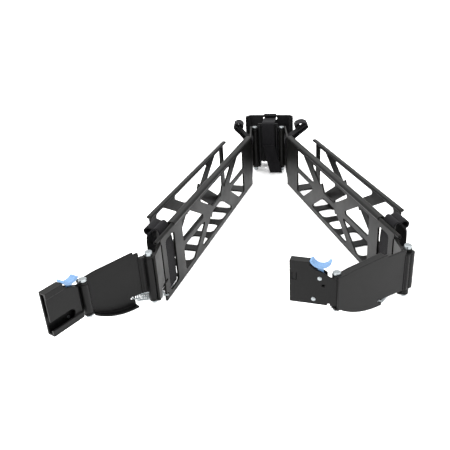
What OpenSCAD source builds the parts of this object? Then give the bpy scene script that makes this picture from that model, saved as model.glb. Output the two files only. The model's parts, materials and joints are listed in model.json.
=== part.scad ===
// Two-tray cable management arm for a server rack: two ladder-floored cable
// trays hinged to a centre bracket, each carrying a folding link and an end
// bracket with a thumb latch that fastens to a slide rail.
// Frame: origin on the floor in the middle of the footprint,
// +X to the right, +Y to the rear (the cradle side), +Z up.

/* [Trays] */
// Height of the tray walls to the top of the rolled rails
wall_h = 71.5; // [69:0.5:76]
// Length of the inner wall of a tray
wall_len = 307; // [295:1:320]
// Distance across a tray, over both walls
tray_w = 32.7; // [31:0.1:38]
// Thickness of the sheet metal of walls, leaves and ears
sheet = 2; // [1.8:0.1:2.2]
// How far the outer wall starts beyond the inner wall's centre end
outer_wall_start = 26; // [22:1:30]
// How far the outer wall stops short of the inner wall's outer end
outer_wall_stop = 44; // [42:1:50]
// Width of the ladder floor's slats
slat_w = 11.5; // [9:0.5:14]
// Number of slats in the ladder floor
slats = 7; // [6:1:7]

/* [Hinges] */
// Distance between the two centre hinge pins
pin_gap = 39.3; // [38:0.1:44]
// Diameter of every hinge pin
pin_d = 5; // [4.6:0.1:5]
// Radial running clearance of a knuckle on its pin
pin_play = 0.05; // [0.03:0.01:0.08]
// Distance from a centre pin to the inner wall's centre end, along the tray
centre_reach = 48; // [46:1:52]
// Distance from the inner wall's outer end to the end pin, along the tray
end_reach = 21.6; // [21:0.1:23]
// Angle of the left tray from the straight-ahead direction
left_angle = 10.4; // [8:0.1:12]
// Angle of the right tray from the straight-ahead direction
right_angle = 22.1; // [20:0.1:24]

/* [Links] */
// Length of the left link between its two pins
left_link_len = 66.3; // [65:0.1:70]
// Length of the right link between its two pins
right_link_len = 83.8; // [80:0.1:88]
// Swing of the left link away from the line of its tray
left_link_angle = 30.9; // [28:0.1:34]
// Swing of the right link away from the line of its tray
right_link_angle = -74.4; // [-78:0.1:-70]
// Height of the top of a link's plate
link_top = 70.5; // [70:0.1:72]
// Height of the bottom of the left link's plate
left_link_bottom = 15.5; // [14:0.1:16.5]
// Height of the bottom of the right link's plate
right_link_bottom = 19; // [18:0.1:20]

/* [End brackets] */
// Length of an end bracket from its pin to its open end
bracket_len = 40.5; // [38:0.5:46]
// Height of the bottom of an end bracket
bracket_bottom = 36; // [35.6:0.1:36.4]
// Height of the top of an end bracket
bracket_top = 77.5; // [77:0.1:79]
// Swing of the left end bracket away from the line of its link
left_bracket_angle = -14.4; // [-18:0.1:-10]
// Swing of the right end bracket away from the line of its link
right_bracket_angle = -48.6; // [-52:0.1:-44]

/* [Centre bracket] */
// Height of the top of the front plate
plate_top = 75.5; // [75:0.1:78]
// Height of the top of the rear cradle
cradle_top = 77; // [76:0.1:80]
// Width of the rear cradle
cradle_w = 71; // [70:0.5:72]
// Distance from the pins' line to the rear face of the cradle
cradle_y = 37; // [36:0.5:40]

/* [Straps] */
// Width of the hook-and-loop straps
strap_w = 18; // [16:0.5:18.5]
// Thickness of the straps
strap_t = 1.4; // [1.2:0.1:1.6]

/* [Hidden] */

$fn = 40;
eps = 0.02;
body_gap = 0.4;                          // clearance between parts that move past each other
paint = "dimgray";
strap_colour = "darkslategray";
zinc = "silver";
latch_colour = "lightskyblue";

pin_r = pin_d / 2;
bore_r = pin_r + pin_play;

// from the middle of the footprint to the middle of the two centre pins
centre_x = -7.4;
centre_y = 209.8;

// tray frame: x outward along the tray from the centre pin, y towards the tray's outer side
wall_y = -8.5;                           // inner face of the inner wall
wall_x = centre_reach;
wall_end = wall_x + wall_len;
far_y = wall_y + tray_w - sheet;         // inner face of the outer wall
far_x = wall_x + outer_wall_start;
far_end = wall_end - outer_wall_stop;

// rolled rails
lip_d = 3.6;
cover_h = 5;
cover_w = 8.6;
rail_z = wall_h - cover_h / 2;
cover_end = wall_end - 33;
lip_y = wall_y + lip_d / 2 + 0.3;
outer_rail_w = 6;
outer_rail_h = 3.4;

// pierced pattern of the walls
foot_h = 6;                              // height of the bottom member
mid_low = 34;                            // underside of the middle member
mid_high = 40;                           // top of the middle member
win_top = 65;                            // top of the upper windows
panel_centre = 41;                       // solid panel at the centre end
panel_outer = 52;                        // solid panel at the outer end
brace_foot = 70.5;                       // from the middle of the pattern to a brace's foot
brace_node = 29.5;                       // from the middle of the pattern to where braces meet
brace_w = [12.5, 13, 17, 11];            // upper inner, upper outer, lower inner, lower outer
corner_r = 2.5;
pattern_x = wall_x + (panel_centre + wall_len - panel_outer) / 2;
post_w = 12;

// strap window and the parts near the outer end
strap_x = wall_end - 21;
end_strap_w = strap_w + 2.4;
window_w = end_strap_w + 1.6;
window_low = 5.5;
window_high = 63;
leaf_slot = 1.6;                         // relief between the wall and the end leaf
leaf_step_z = 23.4;
step_slot = 2.8;                         // height of the relief under the end leaf
hook_hole_r = 1.85;
anchor_x = wall_end - 2.85;
anchor_z = 6.5;

// centre leaf
centre_knuckle_r = 4.6;
leaf_in = centre_knuckle_r - 0.2;        // inner face of the leaf from the pin's axis
leaf_tilt = atan2(leaf_in + sheet / 2 - wall_y - sheet / 2, centre_reach - 1);
leaf_low = 10.4;
leaf_high = wall_h - 2;

// end leaf and end pin
end_x = wall_end + end_reach;
end_y = -5.8;
end_tilt = 11;
end_leaf_x = wall_end + 0.2;
end_dx = end_x - end_leaf_x;
end_dy = end_y - wall_y;
end_foot_x = end_dx * cos(end_tilt) - end_dy * sin(end_tilt);
end_foot_y = end_dx * sin(end_tilt) + end_dy * cos(end_tilt);
end_leaf_len = end_foot_x + 2.2;
end_low = 16;
end_high = 64.7;
ear_r = 4.3;
head_r = 3.6;

// link
web_in = 4.6;                            // inner face of the link's web from the pins' line
web_t = 1.6;
flange_y = -1;                           // free edge of the link's flanges
link_knuckle_r = 4.3;
ridge = [[0, 3, 4.6], [5.2, 5, 2.6], [8.3, 5.2, 1.4]];   // place and radius of the ridges beside the pin
web_start = 8;                           // where the plate enters the ridged column
link_ear_low = 33;
link_ear_high = 66.8;
link_ear_t = 2;
sweep_x = 44;                            // where the swept lower edge starts, back from the outer pin
hook_back = 46;                          // from the outer pin back to the spring's hole
hook_z = 24.5;
cut_z = 25.2;                            // underside of the link's plate beside the end pin

// spring
coil_r = 3.4;
wire_r = 0.5;
coil_pitch = 2.3;                        // the coils stand apart, since the spring is under tension
ring_r = 3.2;
hook_edge = 2.85;                        // from a spring's hole to the edge that its hook passes

// end bracket
bracket_knuckle_r = 4.1;
bracket_web = bracket_knuckle_r;         // outer face of the bracket's web
bracket_depth = 8;
bracket_t = 1.6;
bracket_lip = 5.5;
flange_start = 22.8;                     // where the top flange starts, clear of the latch
near_start = 8;                          // where the near plate and the bottom flange start
pivot = [14, 62.5];
lower_rivet = [19.3, 41];
rivet_r = 1.95;
slot_z = 45;
slot_r = 4.6;
slot_reach = 21;
tongue_at = [34.4, 59];                  // lanced tongue of the right bracket
tongue = [3.8, 7];

// latch
latch_w = 1.7;                           // thickness of the lever between the bracket's two plates
pad_r = 8.6;
pad_at = [13.4, 79.1];
pad_dip = 78;                            // height of the bottom of the thumb scoop
scoop_r = 16.6;
coil_t = 0.8;
latch_y = bracket_web - bracket_t - 0.3 - latch_w;
latch_hub_r = 3.6;

// centre bracket
ear_low = 8;
ear_high = 66.4;
centre_ear_r = 4.1;
plate_half = pin_gap / 2 - centre_knuckle_r - 0.6;
plate_low = 17.5;
plate_y = -1;
rib_r = 2.2;
cradle_t = 2;
cradle_r = 9;
cradle_side = 22;                        // how far forward the cradle's side lips come
cradle_slot_z = 70;
flange_rear = 9;                         // rear edge of the front plate's side flanges
ear_rear = 14.4;                         // rear edge of the lower ears, which carry the cradle
foot_rivet = [19, 11.7];
strap_mid = 0.6;
slot_play = 1.3;                         // room beside the strap in the cradle's slot
tail_slant = 10;
tail_low = 0.6;

// ---------- small shared shapes ----------

// sheet standing upright: a flat outline in x and z, from y to y + t
module upright(y, t) {
    translate([0, y + t, 0]) rotate([90, 0, 0]) linear_extrude(t) children();
}

// flat bar between two points
module bar(p, q, w) {
    d = q - p;
    translate(p) rotate(atan2(d[1], d[0])) translate([-w, -w / 2]) square([norm(d) + 2 * w, w]);
}

// rectangle with round corners
module round_box(w, h, r) {
    translate([r, 0]) square([w - 2 * r, h]);
    translate([0, r]) square([w, h - 2 * r]);
    for (x = [r, w - r], y = [r, h - r]) translate([x, y]) circle(r);
}

// round bar along x with a flat-sided middle: w across, h high
module rail(w, h, len) {
    rotate([90, 0, 90]) linear_extrude(len) {
        for (y = [-1, 1]) translate([y * (w - h) / 2, 0]) circle(d = h);
        square([w - h, h], center = true);
    }
}

// pin with a low domed head and a groove for its clip; z from low to high under the head
module pin(low, high, head) {
    translate([0, 0, low]) cylinder(r = pin_r, h = high - low);
    translate([0, 0, high]) rotate_extrude() {
        square([head_r - 0.5, head]);
        square([head_r, head - 0.5]);
        translate([head_r - 0.5, head - 0.5]) intersection() {
            circle(0.5);
            square(1);
        }
    }
}

// open retaining ring snapped on under an ear
module clip(z) {
    translate([0, 0, z - 0.9]) difference() {
        cylinder(r = 4.2, h = 0.8);
        translate([0, 0, -1]) cylinder(r = pin_r, h = 3);
        translate([0, -1.6, -1]) cube([9, 3.2, 3]);
    }
}

// points of a smooth open curve: corners are cut n times
function smooth(p, n) = n == 0 ? p : smooth(concat([p[0]],
    [for (i = [0 : len(p) - 2], k = [0.25, 0.75]) p[i] * (1 - k) + p[i + 1] * k],
    [p[len(p) - 1]]), n - 1);

function side(p, i) = let (a = p[max(i - 1, 0)], b = p[min(i + 1, len(p) - 1)], d = (b - a) / norm(b - a))
    [-d[1], d[0]];

// strap seen edge on, with softened edges: a band along a curve
module band(p, t) {
    n = len(p) - 1;
    soft = 0.25;
    half = t / 2 - soft;
    offset(r = soft, $fn = 8) polygon(concat([for (i = [0 : n]) p[i] + side(p, i) * half],
        [for (i = [n : -1 : 0]) p[i] - side(p, i) * half]));
}

// ---------- frames ----------

// the centre bracket's frame: x along the line of the two centre pins, y to the rear
module centre() {
    translate([centre_x, centre_y, 0]) children();
}

module right_tray() {
    centre() translate([pin_gap / 2, 0, 0]) rotate([0, 0, right_angle - 90]) children();
}

module left_tray() {
    centre() mirror([1, 0, 0]) translate([pin_gap / 2, 0, 0]) rotate([0, 0, left_angle - 90]) children();
}

module link_at(angle) {
    translate([end_x, end_y, 0]) rotate([0, 0, angle]) children();
}

module bracket_at(len, angle) {
    translate([len, 0, 0]) rotate([0, 0, angle]) children();
}

module right_link() {
    right_tray() link_at(right_link_angle) children();
}

module left_link() {
    left_tray() link_at(left_link_angle) children();
}

module right_bracket() {
    right_link() bracket_at(right_link_len, right_bracket_angle) children();
}

module left_bracket() {
    left_link() bracket_at(left_link_len, left_bracket_angle) children();
}

// frame of the centre leaf: x along the leaf, y out from the pin's axis
module leaf_frame() {
    rotate([0, 0, -leaf_tilt]) children();
}

// frame of the end leaf: x along the leaf from the wall, y through it
module end_leaf_frame() {
    translate([end_leaf_x, wall_y, 0]) rotate([0, 0, -end_tilt]) children();
}

// ---------- trays ----------

// braces of the pierced pattern, four members meeting the middle member at two points
module braces() {
    for (i = [0 : 3]) {
        upper = i < 2;
        s = i % 2 == 0 ? -1 : 1;
        bar([pattern_x + s * brace_foot, upper ? win_top : foot_h],
            [pattern_x + s * brace_node, upper ? mid_high : mid_low], brace_w[i]);
    }
}

// pierced wall outline between x0 and x1, with solid panels of widths a and b at its ends
module pierced(x0, x1, a, b, top) {
    offset(r = -corner_r, $fn = 16) offset(delta = corner_r) intersection() {
        translate([x0, 0]) square([x1 - x0, top]);
        union() {
            translate([x0, 0]) square([x1 - x0, foot_h]);
            translate([x0, mid_low]) square([x1 - x0, mid_high - mid_low]);
            translate([x0, win_top]) square([x1 - x0, top - win_top]);
            translate([x0, 0]) square([a, top]);
            translate([x1 - b, 0]) square([b, top]);
            braces();
        }
    }
}

module inner_wall() {
    color(paint) {
        difference() {
            upright(wall_y, sheet) difference() {
                pierced(wall_x, wall_end, panel_centre, panel_outer, rail_z);
                translate([strap_x - window_w / 2, window_low])
                    round_box(window_w, window_high - window_low, 4);
                // outer end is cut back beside the end leaf
                translate([wall_end - leaf_slot, leaf_step_z - leaf_slot]) square([9, win_top - leaf_step_z]);
                translate([wall_end - 6, leaf_step_z - step_slot]) square([9, step_slot]);
            }
            translate([anchor_x, wall_y + sheet / 2, anchor_z]) rotate([90, 0, 0])
                cylinder(r = hook_hole_r, h = sheet + 2, center = true);
        }
        // rolled top edge, longer than the wall
        translate([wall_x, lip_y, rail_z]) rotate([0, 90, 0]) difference() {
            cylinder(d = lip_d, h = wall_len + 7);
            translate([0, 0, wall_len - 8]) cylinder(d = lip_d - 1.6, h = 20);
        }
    }
}

module outer_wall() {
    color(paint) upright(far_y, sheet)
        pierced(far_x + 6, far_end, post_w, post_w + 2, rail_z - outer_rail_h / 2 - eps);
}

module outer_rail() {
    color(paint) translate([far_x - 2, far_y + sheet / 2, rail_z])
        rail(outer_rail_w, outer_rail_h, far_end - far_x + 3);
}

module rail_cover() {
    color(paint) difference() {
        translate([wall_x + 0.4, wall_y - 0.4 + cover_w / 2, rail_z])
            rail(cover_w, cover_h, cover_end - wall_x - 0.8);
        translate([wall_x - 1, lip_y, rail_z]) rotate([0, 90, 0])
            cylinder(d = lip_d + 0.1, h = wall_len);
        translate([wall_x - 1, wall_y - 0.05, rail_z - 9]) cube([wall_len, sheet + 0.1, 9]);
    }
}

module tray_floor() {
    y0 = wall_y + sheet + 0.05;
    depth = far_y - 0.05 - y0;
    x1 = far_end - 1;
    pitch = (x1 - slat_w - wall_x - 20) / (slats - 0.4);
    color(paint) difference() {
        translate([wall_x + 14, y0, 0]) cube([x1 - wall_x - 14, depth, sheet]);
        for (i = [0 : slats - 1])
            translate([wall_x + 20 + slat_w + i * pitch, y0 + 3, -1]) linear_extrude(sheet + 2)
                round_box(min(pitch - slat_w, x1 - 4 - (wall_x + 20 + slat_w + i * pitch)), depth - 6, 6);
        // room for the centre leaf's flange
        translate([wall_x, y0 - 1, -1]) cube([24, 4, 9]);
    }
}

module centre_leaf() {
    slot_x = 16;
    color(paint) difference() {
        union() {
            translate([0, 0, leaf_low]) cylinder(r = centre_knuckle_r, h = ear_high - body_gap - leaf_low);
            intersection() {
                leaf_frame() translate([-4, leaf_in, leaf_low])
                    cube([centre_reach + 8, sheet, leaf_high - leaf_low]);
                translate([-20, -30, 0]) cube([20 + wall_x - 0.3, 60, 100]);
            }
            // flange welded behind the inner wall
            translate([wall_x - 7, wall_y + sheet + 0.05, leaf_low]) cube([24, sheet, 54 - leaf_low]);
            // stiffening beads beside the knuckle
            leaf_frame() for (x = [5.5, 9.5]) translate([x, leaf_in, leaf_low + 3])
                cylinder(r = 0.9, h = 48);
        }
        translate([0, 0, leaf_low - 1]) cylinder(r = bore_r, h = 70);
        // two slots for the strap
        leaf_frame() for (z = [49.4, 61.6]) translate([slot_x - 0.5, leaf_in - 2, z])
            cube([strap_w + 2, sheet + 4, 4.4]);
    }
}

// clevis ear around the end pin
module end_ear(z) {
    translate([0, 0, z]) linear_extrude(sheet) {
        translate([end_foot_x, end_foot_y]) circle(ear_r);
        translate([end_foot_x - ear_r, sheet / 2]) square([ear_r + 3, end_foot_y - sheet / 2]);
    }
}

module end_leaf() {
    color(paint) {
        difference() {
            end_leaf_frame() union() {
                upright(0, sheet) polygon([[leaf_slot * 0.6, leaf_step_z], [end_leaf_len - 11, leaf_step_z],
                    [end_leaf_len - 7, end_low], [end_leaf_len, end_low], [end_leaf_len, end_high],
                    [leaf_slot * 0.6, end_high]]);
                end_ear(end_low);
                end_ear(end_high - sheet);
            }
            translate([end_x, end_y, end_low - 1]) cylinder(r = pin_r, h = 60);
            // clear of the wall's own sheet
            translate([wall_end - 30, wall_y - 1, 0]) cube([30 + 0.1, sheet + 1.05, 100]);
        }
        // joggled flange welded behind the wall, between the strap window and the slot
        translate([wall_end - 7.6, wall_y + sheet + 0.05, leaf_step_z + 3])
            cube([11.6, sheet - 0.3, end_high - leaf_step_z - 4]);
        translate([wall_end + 2, wall_y + sheet / 2, leaf_step_z + 3])
            cube([2, sheet, end_high - leaf_step_z - 4]);
    }
}

module end_pin() {
    color(zinc) translate([end_x, end_y, 0]) pin(end_low - 3, end_high, 3.6);
}

module end_clip() {
    color(zinc) translate([end_x, end_y, 0]) clip(end_low);
}

// ---------- links ----------

// radius of the curve that rises from a link's bottom edge to its outer ear
function sweep_r(low) = (sweep_x ^ 2 + (link_ear_low - low) ^ 2) / (2 * (link_ear_low - low));

// flat outline of a link's plate, x from the end pin to the outer pin
module link_outline(len, low) {
    tab = len - hook_back - hook_edge;
    r = sweep_r(low);
    difference() {
        polygon([[web_start, cut_z], [tab, cut_z], [tab, low], [len + 3, low], [len + 3, link_ear_high],
            [len - 5, link_ear_high], [len - 13, link_ear_high + 1.4], [len - 50, link_top],
            [len - 53, link_top], [len - 53, link_top - 2.3], [web_start, link_top - 2.3]]);
        // lower outer corner swept away in a wide curve up to the outer pin
        difference() {
            translate([len - sweep_x, low - 1]) square([sweep_x + 6, link_ear_low - low + 1]);
            translate([len - sweep_x, low + r]) circle(r, $fn = 96);
        }
    }
}

// the bottom edge from the spring's tab to the outer ear, as the flange's section
module lower_edge(len, low, t) {
    r = sweep_r(low);
    translate([len - hook_back - hook_edge, low]) square([hook_back + hook_edge - sweep_x, t]);
    intersection() {
        translate([len - sweep_x, low + r]) difference() {
            circle(r, $fn = 96);
            circle(r - t, $fn = 96);
        }
        translate([len - sweep_x, low - 1]) square([sweep_x - 5, link_ear_low - low + 1]);
    }
}

module link_plate(len, low, top_flange) {
    color(paint) difference() {
        union() {
            upright(web_in, web_t) link_outline(len, low);
            // clevis ears at the outer pin
            for (z = [link_ear_low, link_ear_high - link_ear_t]) translate([len, 0, z])
                linear_extrude(link_ear_t) {
                    circle(centre_ear_r);
                    translate([-centre_ear_r, 0]) square([2 * centre_ear_r, web_in + eps]);
                }
            // one edge has a flange bent in: the top one, or the swept bottom one
            upright(flange_y, web_in - flange_y + eps)
                if (top_flange) polygon([[len - 50, link_top], [len - 13, link_ear_high + 1.4],
                    [len - 4, link_ear_high], [len - 4, link_ear_high - web_t],
                    [len - 13, link_ear_high + 1.4 - web_t], [len - 50, link_top - web_t]]);
                else lower_edge(len, low, web_t);
        }
        translate([len, 0, link_ear_low - 1]) cylinder(r = pin_r, h = 60);
        translate([len - hook_back, web_in + web_t / 2, hook_z]) rotate([90, 0, 0])
            cylinder(r = hook_hole_r, h = web_t + 2, center = true);
    }
}

// knuckle on the end pin, and the ridged column that grips the plate's edge
module link_knuckle() {
    low = end_low + sheet + body_gap;
    high = end_high - sheet - body_gap;
    color(paint) difference() {
        union() {
            translate([0, 0, low]) cylinder(r = link_knuckle_r, h = high - low);
            for (c = ridge) translate([c[0], c[1], cut_z]) cylinder(r = c[2], h = high - cut_z);
            translate([0, web_in, cut_z]) cube([web_start + 0.6, web_t, high - cut_z]);
        }
        translate([0, 0, low - 1]) cylinder(r = bore_r, h = 60);
        translate([web_start - 0.05, web_in - 0.05, cut_z - 1]) cube([30, web_t + 0.1, 60]);
    }
}

module link_pin(len) {
    color(zinc) translate([len, 0, 0]) pin(link_ear_low - 3, link_ear_high, 2.2);
}

module link_clip(len) {
    color(zinc) translate([len, 0, 0]) clip(link_ear_low);
}

// extension spring hooked between two points, drawn along x and turned into place
module spring_between(p, q) {
    d = q - p;
    length = norm(d);
    body = length - 4 * ring_r - 2;
    turns = floor(body / coil_pitch);
    pitch = body / turns;
    translate(p) rotate([0, 0, atan2(d[1], d[0])]) rotate([0, -asin(d[2] / length), 0]) {
        // coils as a ribbed sleeve
        translate([2 * ring_r + 1, 0, 0]) rotate([0, 90, 0]) rotate_extrude() {
            for (i = [0 : turns - 1])
                translate([coil_r - wire_r, (i + 0.5) * pitch]) circle(wire_r, $fn = 16);
            translate([coil_r - 1.6 * wire_r, pitch / 2]) square([wire_r, body - pitch]);
        }
        // hooks
        for (s = [0, 1]) translate([s * length, 0, 0]) mirror([s, 0, 0]) {
            translate([ring_r - 0.4, 0, 0]) rotate_extrude()
                translate([ring_r, 0]) circle(wire_r, $fn = 16);
            translate([2 * ring_r - 0.5, 0, 0]) rotate([0, 90, 0]) cylinder(r = wire_r, h = 2.2);
            translate([2 * ring_r + 1.2, 0, wire_r - coil_r]) cylinder(r = wire_r, h = 2 * (coil_r - wire_r));
        }
    }
}

module link_spring(len, angle) {
    // the anchor hole in the tray wall, seen from the link's frame
    a = [anchor_x - end_x, wall_y + sheet / 2 - end_y];
    q = [a[0] * cos(angle) + a[1] * sin(angle), a[1] * cos(angle) - a[0] * sin(angle), anchor_z];
    p = [len - hook_back, web_in + web_t / 2, hook_z];
    color(zinc) spring_between(p, q);
}

// ---------- end brackets and latches ----------

// bracket web: x from the pin to the open end
module bracket_outline() {
    polygon([[0, bracket_bottom], [bracket_len, bracket_bottom], [bracket_len, bracket_top],
        [flange_start + 0.8, bracket_top], [flange_start, 75], [18.5, 71], [14, 69.6], [10.5, 68],
        [7, 65.6], [4.6, link_ear_high - link_ear_t - body_gap], [0, link_ear_high - link_ear_t - body_gap]]);
}

module end_bracket(slotted) {
    y0 = bracket_web - bracket_depth;
    inner = bracket_web - bracket_t;
    near = y0 + bracket_t - eps;
    knuckle_low = bracket_bottom - 0.4;
    color(paint) difference() {
        union() {
            translate([0, 0, knuckle_low])
                cylinder(r = bracket_knuckle_r, h = link_ear_high - link_ear_t - body_gap - knuckle_low);
            upright(inner, bracket_t) bracket_outline();
            // top and bottom flanges with their turned lips
            translate([flange_start, y0, bracket_top - bracket_t])
                cube([bracket_len - flange_start, bracket_depth, bracket_t]);
            translate([near_start, y0, bracket_bottom])
                cube([bracket_len - near_start, bracket_depth, bracket_t]);
            translate([flange_start, y0, bracket_top - bracket_lip])
                cube([bracket_len - flange_start, bracket_t, bracket_lip]);
            translate([near_start, y0, bracket_bottom])
                cube([bracket_len - near_start, bracket_t, bracket_lip]);
            // second plate behind the lips, which leaves a channel for the rail and the latch
            upright(near, bracket_t) difference() {
                intersection() {
                    bracket_outline();
                    translate([near_start, bracket_bottom + 0.5])
                        square([bracket_len - 0.5 - near_start, bracket_top - bracket_bottom - 1]);
                }
                // open-ended slot that drops over the rail's stud
                if (slotted) {
                    translate([bracket_len - slot_reach, slot_z]) circle(slot_r);
                    translate([bracket_len - slot_reach, slot_z - slot_r])
                        square([slot_reach + 1, 2 * slot_r]);
                }
            }
        }
        if (!slotted) {
            // three sides of a lanced catch tongue
            for (x = [0, tongue[0]]) translate([tongue_at[0] + x - 0.3, inner - 0.5, tongue_at[1]])
                cube([0.6, bracket_t + 1, tongue[1]]);
            translate([tongue_at[0], inner - 0.5, tongue_at[1]]) cube([tongue[0], bracket_t + 1, 0.6]);
            // small lanced window below the latch
            translate([9.4, inner - 0.5, 54.6]) cube([2.6, bracket_t + 1, 2.4]);
        }
        translate([0, 0, bracket_bottom - 2]) cylinder(r = bore_r, h = 60);
        for (p = [pivot, lower_rivet]) translate([p[0], inner - 1, p[1]]) rotate([-90, 0, 0])
            cylinder(r = rivet_r - 0.45, h = 4);
        // relief notch at the foot beside the knuckle
        translate([4.8, inner - 1, bracket_bottom - 1]) cube([2.2, 4, 3]);
    }
}

module bracket_rivets() {
    color(zinc) for (p = [pivot, lower_rivet]) {
        long = p == pivot ? latch_w + 1.2 : 0.6;
        translate([p[0], bracket_web, p[1]]) rotate([-90, 0, 0]) {
            // low domed head outside, shank through the web
            rotate_extrude() intersection() {
                translate([0, -2.4]) circle(3.2);
                square([rivet_r, 2]);
            }
            translate([0, 0, -bracket_t - long]) cylinder(r = rivet_r - 0.45, h = bracket_t + long);
        }
    }
}

// closed coil of the torsion spring that lifts the latch, on the pivot beyond the lever
module latch_spring() {
    color(zinc) translate([pivot[0], latch_y - 0.15, pivot[1]]) rotate([90, 0, 0]) difference() {
        union() {
            cylinder(r = 2.6, h = coil_t);
            translate([-2.6, 0, 0]) cube([coil_t, 6.4, coil_t]);
        }
        translate([0, 0, -1]) cylinder(r = 1.55, h = 3);
    }
}

// thumb lever: a thin lever between the bracket's plates, and a scooped pad across their top
module latch() {
    color(latch_colour) difference() {
        union() {
            upright(latch_y, latch_w) {
                translate(pivot) circle(latch_hub_r);
                polygon([[10.6, 63], [16.6, 64], [13.4, pad_at[1] - pad_r + 1],
                    [8.6, pad_at[1] - pad_r + 2.2]]);
            }
            upright(bracket_web - bracket_depth, bracket_depth) difference() {
                translate(pad_at) circle(pad_r, $fn = 60);
                translate([pad_at[0] + 0.6, pad_dip + scoop_r]) circle(scoop_r, $fn = 72);
            }
        }
        translate([pivot[0], latch_y - 1, pivot[1]]) rotate([-90, 0, 0])
            cylinder(r = rivet_r - 0.45 + 0.06, h = latch_w + 2);
    }
}

// ---------- straps ----------

// loop round the cables at the outer end, with its loose end turned up
module end_strap() {
    y0 = wall_y + sheet + 0.8;
    pts = smooth([[y0 + 7, 5], [y0 + 1, 4.4], [y0, 10], [y0, 52], [y0 + 0.8, 61],
        [y0 + 3, 66], [y0 + 3.2, 71], [y0 + 5.4, 74.4], [y0 + 9, 73.4], [y0 + 13, 69.5],
        [y0 + 16.4, 66], [y0 + 17.4, 60], [y0 + 17.6, 40], [y0 + 17, 12], [y0 + 13.6, 4.6],
        [y0 + 8.4, 4.8]], 2);
    flap = smooth([[y0 + 8.6, 72.2], [y0 + 12, 74.4], [y0 + 16.4, 74.8], [y0 + 19.2, 71.6],
        [y0 + 18.4, 68], [y0 + 15.4, 66.8]], 2);
    color(strap_colour) translate([strap_x - end_strap_w / 2, 0, 0]) rotate([90, 0, 90])
        linear_extrude(end_strap_w) union() {
            band(pts, strap_t);
            band(flap, strap_t);
        }
}

// slack loop through the centre leaf's slots, standing out from the tray
module centre_loop() {
    y0 = leaf_in + sheet / 2;
    pts = smooth([[y0 - 2.1, 57], [y0 - 2.1, 52.5], [y0 + 0, 51.6], [y0 + 5, 53], [y0 + 15, 60.5],
        [y0 + 24, 67.4], [y0 + 29.6, 71.6], [y0 + 30.2, 75], [y0 + 24, 74.4], [y0 + 12, 68.4],
        [y0 + 5, 64.2], [y0 + 0, 63.6], [y0 - 2.1, 62], [y0 - 2.1, 58.2]], 2);
    // the end of the strap, folded back inside the loop
    fold = smooth([[y0 + 28.8, 74.2], [y0 + 22, 70.6], [y0 + 14, 65], [y0 + 8, 60.6], [y0 + 4, 58.6],
        [y0 + 2.8, 60.6]], 2);
    color(strap_colour) leaf_frame() translate([16.5, 0, 0]) rotate([90, 0, 90])
        linear_extrude(strap_w) union() {
            band(pts, strap_t);
            band(fold, strap_t);
        }
}

// strap over the cradle: down the front plate, and folded over the rear wall
module cradle_strap() {
    front = plate_y - sheet - rib_r - strap_t / 2 - 0.3;
    top = plate_top + strap_t / 2 + 0.4;
    rear = cradle_y - cradle_t;
    pts = smooth([[front, 37], [front, 50], [front, top - 3],
        [front + 1.5, top + 0.4], [plate_y + 3, top + 0.2], [12, top - 2.5], [rear - 6, cradle_slot_z + 3.6],
        [rear - 1, cradle_slot_z + 2], [cradle_y + 1.6, cradle_slot_z + 2],
        [cradle_y + 2, cradle_top - 1], [cradle_y + 0.6, cradle_top + 1.6], [rear - 2, cradle_top + 1.6],
        [rear - 6, cradle_top + 0.8]], 2);
    left = strap_mid - strap_w / 2;
    color(strap_colour) {
        translate([left, 0, 0]) rotate([90, 0, 90]) linear_extrude(strap_w) band(pts, strap_t);
        // loose end, laid over the front and slanting to the right
        upright(front - 1.5 * strap_t + eps, strap_t)
            polygon([[left, 44], [left + strap_w, 44], [left + strap_w + tail_slant, tail_low + 2],
                [left + tail_slant + 1, tail_low]]);
    }
}

// ---------- centre bracket ----------

// ears round the two centre pins, tied to the front plate's sides and running back to y1
module centre_ears(z, y1) {
    for (s = [0, 1]) mirror([s, 0, 0]) translate([0, 0, z]) linear_extrude(sheet) {
        translate([pin_gap / 2, 0]) circle(centre_ear_r);
        translate([plate_half - sheet, plate_y]) square([pin_gap / 2 - plate_half + sheet, y1 - plate_y]);
        translate([pin_gap / 2 - 1, 0]) square([centre_ear_r + 1, y1]);
    }
}

module front_plate() {
    color(paint) difference() {
        union() {
            translate([-plate_half, plate_y - sheet, plate_low])
                cube([2 * plate_half, sheet, plate_top - plate_low]);
            // vertical stiffening ribs pressed forward
            for (s = [-1, 1], x = [plate_half - rib_r, plate_half - 3.4 * rib_r])
                translate([s * x, plate_y - sheet + 0.5, plate_low])
                    cylinder(r = rib_r, h = plate_top - plate_low - 2);
            // side flanges bent back, which carry the ears
            for (x = [-plate_half, plate_half - sheet]) translate([x, 0, 0]) rotate([90, 0, 90])
                linear_extrude(sheet) polygon([[plate_y - 1, plate_low], [plate_y - 1, ear_high + sheet],
                    [flange_rear, ear_high + sheet], [flange_rear, ear_low], [plate_y + 5, ear_low]]);
            centre_ears(ear_high, plate_y + sheet);
            centre_ears(ear_low, ear_rear);
        }
        for (s = [-1, 1]) {
            translate([s * pin_gap / 2, 0, ear_low - 1]) cylinder(r = pin_r, h = 80);
            translate([s * foot_rivet[0], foot_rivet[1], ear_low - 1]) cylinder(r = 1.6, h = 5);
        }
    }
}

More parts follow.
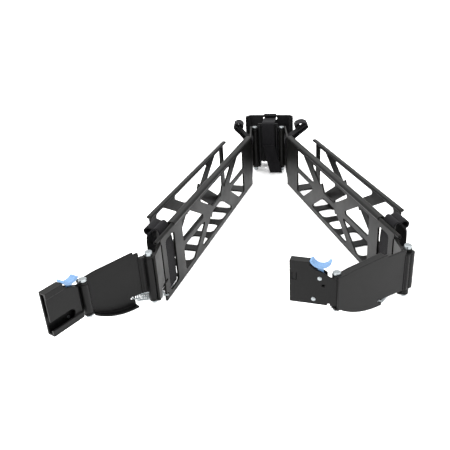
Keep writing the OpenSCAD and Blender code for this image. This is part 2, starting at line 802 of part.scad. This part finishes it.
module rear_cradle() {
    half = cradle_w / 2;
    z0 = ear_low + sheet + 0.05;
    yc = cradle_y - cradle_r;
    color(paint) difference() {
        union() {
            // rear wall with its rolled corners and side lips
            translate([0, 0, z0]) linear_extrude(cradle_top - z0) {
                translate([-half + cradle_r, cradle_y - cradle_t])
                    square([cradle_w - 2 * cradle_r, cradle_t]);
                for (s = [-1, 1]) {
                    translate([s * (half - cradle_r), yc]) intersection() {
                        difference() {
                            circle(cradle_r);
                            circle(cradle_r - cradle_t);
                        }
                        translate([s > 0 ? 0 : -cradle_r, 0]) square(cradle_r);
                    }
                    translate([s > 0 ? half - cradle_t : -half, cradle_side])
                        square([cradle_t, yc - cradle_side]);
                }
            }
            // floor of the cradle, with two tongues that lie on the lower ears
            for (s = [0, 1]) mirror([s, 0, 0]) translate([0, 0, z0]) linear_extrude(cradle_t)
                polygon([[-eps, cradle_y - 1], [half - cradle_r, cradle_y - 1], [half - 1, yc],
                    [half - 1, cradle_side], [foot_rivet[0] + 4, ear_rear + 1],
                    [foot_rivet[0] + 4, flange_rear + 0.4], [foot_rivet[0] - 4, flange_rear + 0.4],
                    [foot_rivet[0] - 4, ear_rear + 2],
                    [foot_rivet[0] - 7, cradle_side - 2], [-eps, cradle_side - 2]]);
        }
        // slot for the strap, wider than the strap
        translate([strap_mid - strap_w / 2 - slot_play, cradle_y - 5, cradle_slot_z])
            cube([strap_w + 2 * slot_play, 8, 4]);
        for (x = [-foot_rivet[0], foot_rivet[0]])
            translate([x, foot_rivet[1], z0 - 1]) cylinder(r = 1.6, h = 5);
    }
}

module floor_rivets() {
    color(zinc) for (x = [-foot_rivet[0], foot_rivet[0]]) translate([x, foot_rivet[1], ear_low]) {
        cylinder(r = 1.6, h = 2 * sheet + 0.05);
        for (z = [-1, 2 * sheet + 0.05]) translate([0, 0, z]) cylinder(r = 2.8, h = 1);
    }
}

module centre_pin(s) {
    color(zinc) translate([s * pin_gap / 2, 0, 0]) {
        pin(ear_low - 4, ear_high + sheet, 1.8);
        // swaged foot
        translate([0, 0, ear_low - 5]) cylinder(r1 = 2.2, r2 = 3.4, h = 1.6);
    }
}

module pin_clips() {
    color(zinc) for (s = [-1, 1]) translate([s * pin_gap / 2, 0, 0]) clip(ear_low);
}

// ---------- nodes ----------

module centre_plate() { centre() front_plate(); }
module cradle() { centre() rear_cradle(); }
module cradle_rivets() { centre() floor_rivets(); }
module centre_pin_left() { centre() centre_pin(-1); }
module centre_pin_right() { centre() centre_pin(1); }
module centre_clips() { centre() pin_clips(); }
module centre_strap() { centre() cradle_strap(); }

module left_inner_wall() { left_tray() inner_wall(); }
module left_outer_wall() { left_tray() outer_wall(); }
module left_tray_floor() { left_tray() tray_floor(); }
module left_rail_cover() { left_tray() rail_cover(); }
module left_outer_rail() { left_tray() outer_rail(); }
module left_centre_leaf() { left_tray() centre_leaf(); }
module left_end_leaf() { left_tray() end_leaf(); }
module left_end_pin() { left_tray() end_pin(); }
module left_end_clip() { left_tray() end_clip(); }
module left_end_strap() { left_tray() end_strap(); }
module left_centre_strap() { left_tray() centre_loop(); }
module left_link_plate() { left_link() link_plate(left_link_len, left_link_bottom, false); }
module left_link_knuckle() { left_link() link_knuckle(); }
module left_link_pin() { left_link() link_pin(left_link_len); }
module left_link_clip() { left_link() link_clip(left_link_len); }
module left_link_spring() { left_link() link_spring(left_link_len, left_link_angle); }
module left_end_bracket() { left_bracket() end_bracket(true); }
module left_bracket_rivets() { left_bracket() bracket_rivets(); }
module left_latch_spring() { left_bracket() latch_spring(); }
module left_latch() { left_bracket() latch(); }

module right_inner_wall() { right_tray() inner_wall(); }
module right_outer_wall() { right_tray() outer_wall(); }
module right_tray_floor() { right_tray() tray_floor(); }
module right_rail_cover() { right_tray() rail_cover(); }
module right_outer_rail() { right_tray() outer_rail(); }
module right_centre_leaf() { right_tray() centre_leaf(); }
module right_end_leaf() { right_tray() end_leaf(); }
module right_end_pin() { right_tray() end_pin(); }
module right_end_clip() { right_tray() end_clip(); }
module right_end_strap() { right_tray() end_strap(); }
module right_centre_strap() { right_tray() centre_loop(); }
module right_link_plate() { right_link() link_plate(right_link_len, right_link_bottom, true); }
module right_link_knuckle() { right_link() link_knuckle(); }
module right_link_pin() { right_link() link_pin(right_link_len); }
module right_link_clip() { right_link() link_clip(right_link_len); }
module right_link_spring() { right_link() link_spring(right_link_len, right_link_angle); }
module right_end_bracket() { right_bracket() end_bracket(false); }
module right_bracket_rivets() { right_bracket() bracket_rivets(); }
module right_latch_spring() { right_bracket() latch_spring(); }
module right_latch() { right_bracket() latch(); }

centre_plate();
cradle();
cradle_rivets();
centre_pin_left();
centre_pin_right();
centre_clips();
centre_strap();
left_inner_wall();
left_outer_wall();
left_tray_floor();
left_rail_cover();
left_outer_rail();
left_centre_leaf();
left_end_leaf();
left_end_pin();
left_end_clip();
left_end_strap();
left_centre_strap();
left_link_plate();
left_link_knuckle();
left_link_pin();
left_link_clip();
left_link_spring();
left_end_bracket();
left_bracket_rivets();
left_latch_spring();
left_latch();
right_inner_wall();
right_outer_wall();
right_tray_floor();
right_rail_cover();
right_outer_rail();
right_centre_leaf();
right_end_leaf();
right_end_pin();
right_end_clip();
right_end_strap();
right_centre_strap();
right_link_plate();
right_link_knuckle();
right_link_pin();
right_link_clip();
right_link_spring();
right_end_bracket();
right_bracket_rivets();
right_latch_spring();
right_latch();
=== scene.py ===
import bpy
import bmesh
import json
import math
from mathutils import Matrix, Vector


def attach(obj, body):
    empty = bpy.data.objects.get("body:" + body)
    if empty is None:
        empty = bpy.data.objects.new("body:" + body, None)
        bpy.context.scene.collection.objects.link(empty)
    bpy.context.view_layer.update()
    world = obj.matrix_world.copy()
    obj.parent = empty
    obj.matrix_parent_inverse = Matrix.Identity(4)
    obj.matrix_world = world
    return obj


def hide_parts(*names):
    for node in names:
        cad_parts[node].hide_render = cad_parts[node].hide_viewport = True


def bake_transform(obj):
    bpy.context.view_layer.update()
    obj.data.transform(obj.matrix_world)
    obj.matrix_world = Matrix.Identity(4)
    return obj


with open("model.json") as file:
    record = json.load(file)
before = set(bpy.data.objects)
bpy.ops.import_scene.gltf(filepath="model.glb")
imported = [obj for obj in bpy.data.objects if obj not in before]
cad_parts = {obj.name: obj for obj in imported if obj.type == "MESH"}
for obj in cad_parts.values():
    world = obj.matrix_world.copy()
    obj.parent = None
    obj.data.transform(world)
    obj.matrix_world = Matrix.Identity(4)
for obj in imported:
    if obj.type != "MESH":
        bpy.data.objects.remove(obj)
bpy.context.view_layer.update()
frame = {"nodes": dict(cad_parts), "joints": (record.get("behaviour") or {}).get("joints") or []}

# --- Trays --------------------------------------------------------------------------------
# The ladder trays with their walls, rails and hinge leaves: 2 mm mild steel sheet, pierced and
# folded, then sprayed with black polyester powder. Baking leaves a satin skin with a fine orange
# peel, and rounds the cut edges and the bends so that they catch the light.

MM = 0.001
SIDES = ("left", "right")
TRAY_PARTS = ("inner_wall", "outer_wall", "tray_floor", "rail_cover", "outer_rail", "centre_leaf",
              "end_leaf")
SHEET_EDGE = 0.6                          # radius that the coat leaves on a cut edge


def linear(hex_colour):
    """sRGB hex colour as linear RGBA."""
    parts = [int(hex_colour[i:i + 2], 16) / 255 for i in (1, 3, 5)]
    return [c / 12.92 if c <= 0.04045 else ((c + 0.055) / 1.055) ** 2.4 for c in parts] + [1.0]


def add_node(material, kind, settings=None, links=None):
    """Adds a shader node; settings are properties or input values, links are input: output socket."""
    tree = material.node_tree
    node = tree.nodes.new(kind)
    for key, value in (settings or {}).items():
        if key in node.inputs:
            node.inputs[key].default_value = value
        else:
            setattr(node, key, value)
    for key, source in (links or {}).items():
        tree.links.new(source, node.inputs[key])
    return node


def finished(name, settings):
    """Material with a Principled shader set as given; returns the material and its shader."""
    material = bpy.data.materials.new(name)
    material.use_nodes = True
    shader = material.node_tree.nodes["Principled BSDF"]
    for key, value in settings.items():
        shader.inputs[key].default_value = value
    return material, shader


def powder_coat(name, colour, gloss, edge):
    """Baked black powder: 0.9 mm orange peel, gloss in soft patches, edges rounded by edge mm."""
    material, shader = finished(name, {"Base Color": linear(colour), "Roughness": gloss,
                                       "IOR": 1.52, "Specular IOR Level": 0.12})
    place = add_node(material, "ShaderNodeTexCoord").outputs["Object"]
    peel = add_node(material, "ShaderNodeTexNoise",
                    {"Scale": 1 / (0.9 * MM), "Detail": 2.0, "Roughness": 0.5}, {"Vector": place})
    patches = add_node(material, "ShaderNodeTexNoise",
                       {"Scale": 1 / (35 * MM), "Detail": 3.0}, {"Vector": place})
    dulled = add_node(material, "ShaderNodeMapRange",
                      {"From Min": 0.3, "From Max": 0.7, "To Min": gloss - 0.05,
                       "To Max": gloss + 0.07}, {"Value": patches.outputs["Fac"]})
    edges = add_node(material, "ShaderNodeBevel", {"samples": 6, "Radius": edge * MM})
    skin = add_node(material, "ShaderNodeBump", {"Strength": 0.10, "Distance": 0.05 * MM},
                    {"Height": peel.outputs["Fac"], "Normal": edges.outputs["Normal"]})
    tree = material.node_tree
    tree.links.new(dulled.outputs["Result"], shader.inputs["Roughness"])
    tree.links.new(skin.outputs["Normal"], shader.inputs["Normal"])
    return material


def coat(names, material):
    """Gives CAD nodes one material."""
    for name in names:
        data = frame["nodes"][name].data
        data.materials.clear()
        data.materials.append(material)


TRAY_POWDER = powder_coat("black_polyester_powder", "#0c0c0b", 0.40, SHEET_EDGE)
coat([f"{side}_{part}" for side in SIDES for part in TRAY_PARTS], TRAY_POWDER)


# --- Links and end brackets ---------------------------------------------------------------
# The folding links and the brackets that take the slide rails: 1.6 mm sheet bent into flanges
# and lips. The same black powder lies thicker on the wide bends, which shine as soft lines.

BEND = 1.1                                # radius of the bends' outside
LINK_POWDER = powder_coat("black_powder_on_bends", "#0a0a0a", 0.36, BEND)
coat([f"{side}_{part}" for side in SIDES for part in ("link_plate", "link_knuckle", "end_bracket")],
     LINK_POWDER)


# --- Centre bracket -----------------------------------------------------------------------
# The ribbed front plate and the cradle behind it, which carry both trays: sheet steel in the
# same powder, a little duller where hands and straps rub it.

BRACKET_POWDER = powder_coat("black_powder_rubbed", "#0d0d0e", 0.46, SHEET_EDGE)
coat(("centre_plate", "cradle"), BRACKET_POWDER)


# --- Pins, clips and rivets ---------------------------------------------------------------
# Hinge pins, their snap rings and the rivets are turned or stamped from low-carbon steel and
# bright zinc plated: a pale bluish silver with a faint grain from the plating barrel.

def bright_zinc(name, colour, roughness):
    """Zinc plate: bright metal, slightly uneven from tumbling against other parts."""
    material, shader = finished(name, {"Base Color": linear(colour), "Metallic": 1.0,
                                       "Roughness": roughness})
    place = add_node(material, "ShaderNodeTexCoord").outputs["Object"]
    grain = add_node(material, "ShaderNodeTexNoise",
                     {"Scale": 1 / (0.6 * MM), "Detail": 3.0}, {"Vector": place})
    dulled = add_node(material, "ShaderNodeMapRange",
                      {"From Min": 0.3, "From Max": 0.7, "To Min": roughness - 0.05,
                       "To Max": roughness + 0.08}, {"Value": grain.outputs["Fac"]})
    edges = add_node(material, "ShaderNodeBevel", {"samples": 4, "Radius": 0.3 * MM})
    skin = add_node(material, "ShaderNodeBump", {"Strength": 0.08, "Distance": 0.04 * MM},
                    {"Height": grain.outputs["Fac"], "Normal": edges.outputs["Normal"]})
    tree = material.node_tree
    tree.links.new(dulled.outputs["Result"], shader.inputs["Roughness"])
    tree.links.new(skin.outputs["Normal"], shader.inputs["Normal"])
    return material


ZINC = bright_zinc("bright_zinc_plate", "#8f9496", 0.28)
FASTENINGS = [f"{side}_{part}" for side in SIDES
              for part in ("end_pin", "end_clip", "link_pin", "link_clip", "bracket_rivets",
                           "latch_spring")]
coat(FASTENINGS + ["centre_pin_left", "centre_pin_right", "centre_clips", "cradle_rivets"], ZINC)


# --- Thumb latches ------------------------------------------------------------------------
# The levers that free the end brackets, each with a ribbed scoop for the thumb. They are injection
# moulded in light blue nylon with a satin spark-eroded skin; the blue marks what a hand may touch.

def moulded_nylon(name, colour):
    """Satin nylon: 0.5 mm sparked grain, soft edges and a little light in the thin tips."""
    material, shader = finished(name, {
        "Base Color": linear(colour), "Roughness": 0.40, "IOR": 1.53, "Subsurface Weight": 0.08,
        "Subsurface Scale": 0.6 * MM, "Subsurface Radius": (1.0, 1.0, 1.0)})
    place = add_node(material, "ShaderNodeTexCoord").outputs["Object"]
    grain = add_node(material, "ShaderNodeTexNoise", {"Scale": 1 / (0.5 * MM), "Detail": 2.0},
                     {"Vector": place})
    edges = add_node(material, "ShaderNodeBevel", {"samples": 4, "Radius": 0.6 * MM})
    skin = add_node(material, "ShaderNodeBump", {"Strength": 0.06, "Distance": 0.05 * MM},
                    {"Height": grain.outputs["Fac"], "Normal": edges.outputs["Normal"]})
    material.node_tree.links.new(skin.outputs["Normal"], shader.inputs["Normal"])
    return material


PIVOT = (14.0, 62.5)                      # the latch's rivet, out from the hinge pin and up
HUB = 3.6
LEVER = (0.5, 2.2)                        # the lever lies between the bracket's two plates
PAD = (-3.7, 4.0)                         # the pad reaches across both of them
SCOOP = (13.5, 82.4)                      # centre of the thumb scoop
SCOOP_OUTSIDE = 10.1
SCOOP_INSIDE = 8.1
SCOOP_ENDS = {"left": (222, 334), "right": (204, 338)}
RIB = 0.35                                # height of the grip ribs
RIB_TURN = 6                              # degrees from a rib to the groove beside it
RIB_FLAT = 3
HUB_TURN = (150, 390)                     # the neck takes the rest of the hub's circle
NECK = (15.6, 11.4)                       # the lever's neck where it enters the scoop
NECK_TOP = SCOOP[1] - SCOOP_OUTSIDE + 0.8
HINGES = {joint["name"]: Vector(joint["pos_m"]) for joint in frame["joints"]}


def pin_frame(origin, towards, side, turn=0.0):
    """Frame on a pin: x towards the next pin, turned by turn degrees, y outwards, z up."""
    along = Vector((towards.x - origin.x, towards.y - origin.y, 0.0)).normalized()
    outward = 1 if side == "right" else -1
    along = Matrix.Rotation(math.radians(turn) * outward, 3, "Z") @ along
    across = Vector((-along.y, along.x, 0.0)) * outward
    place = Matrix((along, across, (0, 0, 1))).transposed().to_4x4()
    place.translation = Vector((origin.x, origin.y, 0.0))
    return place


def new_piece(name, mesh_data, material, place=None):
    """Object from a bmesh in millimetres, moved into place, with its faces turned outwards."""
    bmesh.ops.scale(mesh_data, vec=(MM, MM, MM), verts=mesh_data.verts)
    if place is not None:
        mesh_data.transform(place)
    bmesh.ops.recalc_face_normals(mesh_data, faces=mesh_data.faces)
    mesh = bpy.data.meshes.new(name)
    mesh_data.to_mesh(mesh)
    mesh_data.free()
    mesh.materials.append(material)
    mesh.shade_smooth()
    mesh.set_sharp_from_angle(angle=math.radians(35))
    piece = bpy.data.objects.new(name, mesh)
    bpy.context.collection.objects.link(piece)
    return piece


def arc(centre, radius, start, end, steps):
    """Points of an arc; the angles are in degrees from the x axis."""
    turns = [math.radians(start + (end - start) * i / steps) for i in range(steps + 1)]
    return [(centre[0] + radius * math.cos(a), centre[1] + radius * math.sin(a)) for a in turns]


def upright_plate(mesh_data, outline, low, high):
    """Adds a plate with an outline in x and z, from y = low to y = high."""
    front, back = ([mesh_data.verts.new((x, y, z)) for x, z in outline] for y in (low, high))
    mesh_data.faces.new(front)
    mesh_data.faces.new(back)
    for i in range(len(outline)):
        j = (i + 1) % len(outline)
        mesh_data.faces.new((front[i], front[j], back[j], back[i]))


def latch_mesh(start, end):
    """Lever with its hub, and the ribbed thumb scoop between two angles."""
    mesh_data = bmesh.new()
    hub = arc(PIVOT, HUB, *HUB_TURN, 24)
    upright_plate(mesh_data, hub + [(x, NECK_TOP) for x in NECK], *LEVER)
    outside = arc(SCOOP, SCOOP_OUTSIDE, start, end, 30)
    inside = []
    for i in range((end - start) // RIB_TURN + 1):
        turn = end - RIB_TURN * i
        inside += arc(SCOOP, SCOOP_INSIDE - RIB * (i % 2), turn, turn - RIB_FLAT, 1)
    upright_plate(mesh_data, outside + inside[:-1], *PAD)
    return mesh_data


BLUE_NYLON = moulded_nylon("moulded_blue_nylon", "#57799e")
for side in SIDES:
    bracket = pin_frame(HINGES[side + "_bracket_hinge"], HINGES[side + "_latch_pivot"], side)
    latch = new_piece(side + "_latch_lever", latch_mesh(*SCOOP_ENDS[side]), BLUE_NYLON, bracket)
    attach(latch, side + "_latch")
    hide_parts(side + "_latch")


# --- Straps at the outer ends of the trays ------------------------------------------------
# Hook-and-loop straps of woven nylon with a brushed face: limp, matt and slightly fuzzy, with
# bound edges. Each runs up behind the wall, round the cables and back under them, and its loose
# end curls over the top.

PIN_LEAN = math.degrees(math.atan2(5.8, 376.6))       # from the tray's line to its end pin
WALL_FACE = -8.5                          # inner face of a tray's inner wall, from the pins' line
STRAP_THICKNESS = 1.5
BOUND_EDGE = 0.35                         # share of the thickness left at the bound edges and ends
END_STRAP_X = 334.0                       # from the centre pin along the tray
END_STRAP_WIDTH = 20.5
END_STRAP_Y = WALL_FACE + 2.8
END_LOOP = [(7, 5), (1, 4.4), (0, 10), (0, 30), (0, 52), (0.8, 61), (3, 66), (3.2, 71), (5.4, 74.4),
            (9, 73.4), (13, 69.5), (16.4, 66), (17.4, 60), (17.6, 40), (17, 12), (13.6, 4.6),
            (8.4, 4.8)]
END_FLAP = [(8.8, 72.4), (12, 74.4), (16.4, 74.8), (19.2, 71.6), (18.4, 68), (15.4, 66.8)]


TRAYS = {side: pin_frame(HINGES[side + "_tray_hinge"], HINGES[side + "_link_hinge"], side, PIN_LEAN)
         for side in SIDES}


def brushed_loop(name):
    """Brushed nylon: 0.9 mm cross ribs of the ground weave under a tangle of fine loops."""
    material, shader = finished(name, {
        "Roughness": 0.9, "IOR": 1.53, "Specular IOR Level": 0.15, "Sheen Weight": 0.06,
        "Sheen Roughness": 0.5, "Sheen Tint": linear("#8a898c")})
    weave = add_node(material, "ShaderNodeUVMap", {"uv_map": "weave_mm"}).outputs["UV"]
    ribs = add_node(material, "ShaderNodeTexWave",
                    {"wave_type": "BANDS", "bands_direction": "Y", "Scale": 0.35, "Distortion": 1.2,
                     "Detail": 2.0, "Detail Scale": 1.5}, {"Vector": weave})
    loops = add_node(material, "ShaderNodeTexNoise", {"Scale": 1.8, "Detail": 5.0, "Roughness": 0.7},
                     {"Vector": weave})
    tangle = add_node(material, "ShaderNodeMix", {"data_type": "FLOAT", "Factor": 0.6},
                      {"A": ribs.outputs["Fac"], "B": loops.outputs["Fac"]})
    shade = add_node(material, "ShaderNodeValToRGB", None, {"Fac": loops.outputs["Fac"]})
    shade.color_ramp.elements[0].position = 0.32
    shade.color_ramp.elements[0].color = linear("#060607")
    shade.color_ramp.elements[1].position = 0.72
    shade.color_ramp.elements[1].color = linear("#121114")
    pile = add_node(material, "ShaderNodeBump", {"Strength": 0.6, "Distance": 0.25 * MM},
                    {"Height": tangle.outputs["Result"]})
    tree = material.node_tree
    tree.links.new(shade.outputs["Color"], shader.inputs["Base Color"])
    tree.links.new(pile.outputs["Normal"], shader.inputs["Normal"])
    return material


LOOP_FABRIC = brushed_loop("brushed_loop_nylon")


def rounded_path(points, rounds):
    """Cuts the corners of a path rounds times, which leaves one smooth curve."""
    for _ in range(rounds):
        cut = [points[0]]
        for a, b in zip(points, points[1:]):
            cut += [a.lerp(b, 0.25), a.lerp(b, 0.75)]
        points = cut + [points[-1]]
    return points


def strap_mesh(path, width, drift=0.0):
    """Band along a path in the y-z plane, its width along x, shifting sideways by drift in all."""
    mesh_data = bmesh.new()
    weave = mesh_data.loops.layers.uv.new("weave_mm")
    half = width / 2
    half_section = [(x * half, 1.0 if abs(x) < 1 else BOUND_EDGE)
                    for x in (-1, -0.96, -0.6, 0, 0.6, 0.96, 1)]
    ring = half_section + [(x, -h) for x, h in reversed(half_section)]
    count = len(ring)
    total = sum((b - a).length for a, b in zip(path, path[1:]))
    rows = []
    length = 0.0
    for i, point in enumerate(path):
        run = (path[min(i + 1, len(path) - 1)] - path[max(i - 1, 0)]).normalized()
        normal = Vector((0, -run.z, run.y))
        if i:
            length += (point - path[i - 1]).length
        shift = drift * length / total
        thin = STRAP_THICKNESS / 2 * (BOUND_EDGE if i in (0, len(path) - 1) else 1.0)
        row = [mesh_data.verts.new(point + Vector((x + shift, 0, 0)) + normal * h * thin)
               for x, h in ring]
        rows.append((length, row))
    for (la, a), (lb, b) in zip(rows, rows[1:]):
        for k in range(count):
            j = (k + 1) % count
            face = mesh_data.faces.new((a[k], a[j], b[j], b[k]))
            for loop, uv in zip(face.loops, ((ring[k][0], la), (ring[j][0], la),
                                             (ring[j][0], lb), (ring[k][0], lb))):
                loop[weave].uv = uv
    for length, row in (rows[0], rows[-1]):
        face = mesh_data.faces.new(row)
        for loop, (x, _) in zip(face.loops, ring):
            loop[weave].uv = (x, length)
    return mesh_data


def strap(name, outline, middle, width, place, body, node, drift=0.0):
    """Strap along an outline of (y, z) points from middle, riding on a body instead of a node."""
    path = rounded_path([middle + Vector((0, y, z)) for y, z in outline], 3)
    piece = new_piece(name, strap_mesh(path, width, drift), LOOP_FABRIC, place)
    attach(piece, body)
    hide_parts(node)


for side in SIDES:
    for part, outline in (("loop", END_LOOP), ("flap", END_FLAP)):
        strap(f"{side}_end_strap_{part}", outline, Vector((END_STRAP_X, END_STRAP_Y, 0)),
              END_STRAP_WIDTH, TRAYS[side], side + "_tray", side + "_end_strap")


# --- Straps at the centre ends of the trays -----------------------------------------------
# The same strap, threaded through two slots of the hinge leaf into a slack loop that stands up and
# out from the tray, with its end bunched on top. Each lies as it was last left.

STRAP_WIDTH = 18.2
LEAF_MIDDLE = 5.4                         # middle of the leaf's sheet, from the pin's axis
LEAF_ROOT = 4.4                           # from the pin's axis out to the leaf's face
LEAF_REACH = 47                           # along the tray, from there to the wall's face
LEAF_LEAN = math.atan2(LEAF_ROOT - WALL_FACE, LEAF_REACH)
LEAF_STRAP_X = 25.5
LOOP_START = [(-2.1, 57), (-2.1, 52.5), (0, 51.6), (4, 54)]
LOOP_END = [(6.4, 66), (3, 63.8), (0, 63.6), (-2.1, 62), (-2.1, 58.2)]
LOOP_OUTSIDE = {
    "left": [(9, 62), (15.5, 70.6), (21.8, 76.6), (23.4, 80.4), (20.4, 82.2), (14.6, 76.2),
             (10, 70.4)],
    "right": [(10, 61.5), (19, 69.6), (28, 76), (30.6, 79.6), (27.4, 81.6), (19, 75.2),
              (11.6, 69.2)]}
CENTRE_FOLD = {
    "left": [(22, 83.6), (17.6, 86.2), (12, 85), (9.6, 80.6), (11.6, 77.4), (15.6, 81.6)],
    "right": [(28.4, 83.2), (22.6, 85.6), (14.4, 83.6), (11.4, 79), (13.4, 76.6), (18.6, 81)]}
for side in SIDES:
    loop = LOOP_START + LOOP_OUTSIDE[side] + LOOP_END
    for part, outline in (("loop", loop), ("fold", CENTRE_FOLD[side])):
        strap(f"{side}_centre_strap_{part}", outline, Vector((LEAF_STRAP_X, LEAF_MIDDLE, 0)),
              STRAP_WIDTH, TRAYS[side] @ Matrix.Rotation(-LEAF_LEAN, 4, "Z"), side + "_tray",
              side + "_centre_strap")


# --- Strap of the centre bracket ----------------------------------------------------------
# Folded over the cradle's rear wall, across the fold of the cables and down the front plate; its
# loose end is pressed onto the front and hangs to one side.

CRADLE_BAND = [(-6.2, 37), (-6.2, 50), (-6.2, 73.6), (-4.7, 77), (2, 76.8), (12, 74.1), (29, 73.6),
               (34, 72), (38.6, 72), (39, 76), (37.6, 78.6), (33, 78.6), (29, 77.8)]
CRADLE_TAIL = [(-7.5, 44), (-7.6, 30), (-7.6, 14), (-7.7, 1.4)]
TAIL_DRIFT = 10.5
centre = (HINGES["left_tray_hinge"] + HINGES["right_tray_hinge"]) / 2
CENTRE = Matrix.Translation((centre.x, centre.y, 0.0))
for part, outline, drift in (("band", CRADLE_BAND, 0.0), ("tail", CRADLE_TAIL, TAIL_DRIFT)):
    strap("centre_strap_" + part, outline, Vector((0.6, 0, 0)), STRAP_WIDTH, CENTRE,
          "centre_bracket", "centre_strap", drift)


# --- Link springs -------------------------------------------------------------------------
# Extension springs of 1.2 mm zinc-plated music wire pull the links towards the trays. Tension
# holds the coils apart; a loop at each end is hooked through a hole in the sheet.

WIRE = 0.62                               # radius of the wire
COIL = 3.4
COIL_PITCH = 2.3
EYE = 3.2
EYE_TURN = 140                            # degrees that each eye is closed to either side of its tip
EYE_BITE = 0.4                            # the eye's tip lies this far past its hole
NECK_LENGTH = 1.0                         # from an eye to the first coil
TURN_STEPS = 20
ANCHOR = Vector((352.15, WALL_FACE + 1, 6.5))         # hole at the foot of the tray's wall
HOOK_BACK = 46.0                          # from the link's outer pin back to the other hole
HOOK_FACE = 5.4
HOOK_HEIGHT = 24.5


def wire_mesh(path, radius, sides=10):
    """Round wire along a path."""
    mesh_data = bmesh.new()
    rows = []
    normal = (path[1] - path[0]).orthogonal()
    for i, point in enumerate(path):
        run = (path[min(i + 1, len(path) - 1)] - path[max(i - 1, 0)]).normalized()
        normal = (normal - run * normal.dot(run)).normalized()
        other = run.cross(normal)
        turns = [math.tau * k / sides for k in range(sides)]
        rows.append([mesh_data.verts.new(point + radius * (normal * math.cos(a) + other * math.sin(a)))
                     for a in turns])
    for a, b in zip(rows, rows[1:]):
        for k in range(sides):
            j = (k + 1) % sides
            mesh_data.faces.new((a[k], a[j], b[j], b[k]))
    mesh_data.faces.new(rows[0])
    mesh_data.faces.new(rows[-1])
    return mesh_data


def spring_path(length):
    """Eye, coils and eye of an extension spring along x, in millimetres."""
    start = 2 * EYE + NECK_LENGTH
    body = length - 2 * start
    steps = TURN_STEPS * round(body / COIL_PITCH)
    near_eye = arc((EYE - EYE_BITE, 0), EYE, 180 + EYE_TURN, 180 - EYE_TURN, TURN_STEPS)
    far_eye = arc((length - EYE + EYE_BITE, 0), EYE, EYE_TURN, -EYE_TURN, TURN_STEPS)
    coils = []
    for i in range(steps + 1):
        a = math.tau * i / TURN_STEPS
        coils.append(Vector((start + body * i / steps, COIL * math.cos(a), COIL * math.sin(a))))
    return [Vector((x, y, 0)) for x, y in near_eye] + coils + [Vector((x, y, 0)) for x, y in far_eye]


SPRING_STEEL = bright_zinc("zinc_on_music_wire", "#84898b", 0.34)
for side in SIDES:
    end_pin = HINGES[side + "_link_hinge"]
    outer_pin = HINGES[side + "_bracket_hinge"]
    hook = Vector(((outer_pin - end_pin).xy.length / MM - HOOK_BACK, HOOK_FACE, HOOK_HEIGHT))
    tray_end = TRAYS[side] @ (ANCHOR * MM)
    link_end = pin_frame(end_pin, outer_pin, side) @ (hook * MM)
    run = (link_end - tray_end).normalized()
    level = Vector((-run.y, run.x, 0)).normalized()
    place = Matrix((run, level, run.cross(level))).transposed().to_4x4()
    place.translation = tray_end
    path = spring_path((link_end - tray_end).length / MM)
    spring = new_piece(side + "_link_spring_coil", wire_mesh(path, WIRE), SPRING_STEEL, place)
    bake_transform(spring)
    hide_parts(side + "_link_spring")


# --- Table and studio ---------------------------------------------------------------------
# A seamless matt white table under one broad overhead light, with a light at each side, the left
# one stronger. All are bright enough to wash the table out to white.

TABLE_HALF = 6000
table_mesh = bmesh.new()
bmesh.ops.create_grid(table_mesh, x_segments=1, y_segments=1, size=TABLE_HALF)
WHITE_TABLE = finished("seamless_table", {"Base Color": linear("#ffffff"), "Roughness": 0.9})[0]
table = new_piece("table", table_mesh, WHITE_TABLE)

world = bpy.data.worlds.new("studio")
bpy.context.scene.world = world
world.use_nodes = True
world.node_tree.nodes["Background"].inputs["Color"].default_value = linear("#ffffff")
world.node_tree.nodes["Background"].inputs["Strength"].default_value = 1.3


def softbox(name, place, target, size, power):
    """Square soft light that faces a point."""
    lamp = bpy.data.lights.new(name, "AREA")
    lamp.size = size
    lamp.energy = power
    light = bpy.data.objects.new(name, lamp)
    light.location = place
    light.rotation_euler = (Vector(target) - Vector(place)).to_track_quat("-Z", "Y").to_euler()
    bpy.context.collection.objects.link(light)


softbox("top_light", (0.0, 0.1, 1.2), (0, 0, 0), 1.4, 26)
softbox("left_light", (-1.0, -0.7, 0.8), (0, 0, 0.04), 0.7, 14)
softbox("right_light", (1.1, -0.5, 0.7), (0, 0, 0.04), 0.7, 3)

CAMERA_TURN = 5.1                         # degrees to the left of straight ahead
CAMERA_DIP = 27.59
CAMERA_ROLL = -1.6
camera_data = bpy.data.cameras.new("camera")
camera_data.lens = 47.07
camera_data.shift_x = -0.0972
camera_data.shift_y = 0.0188
camera = bpy.data.objects.new("camera", camera_data)
camera.location = (0.0635, -0.6223, 0.3302)
camera.rotation_euler = (Matrix.Rotation(math.radians(CAMERA_TURN), 3, "Z")
                         @ Matrix.Rotation(math.radians(90 - CAMERA_DIP), 3, "X")
                         @ Matrix.Rotation(math.radians(CAMERA_ROLL), 3, "Z")).to_euler()
bpy.context.collection.objects.link(camera)
bpy.context.scene.camera = camera
bpy.context.scene.view_settings.view_transform = "Standard"
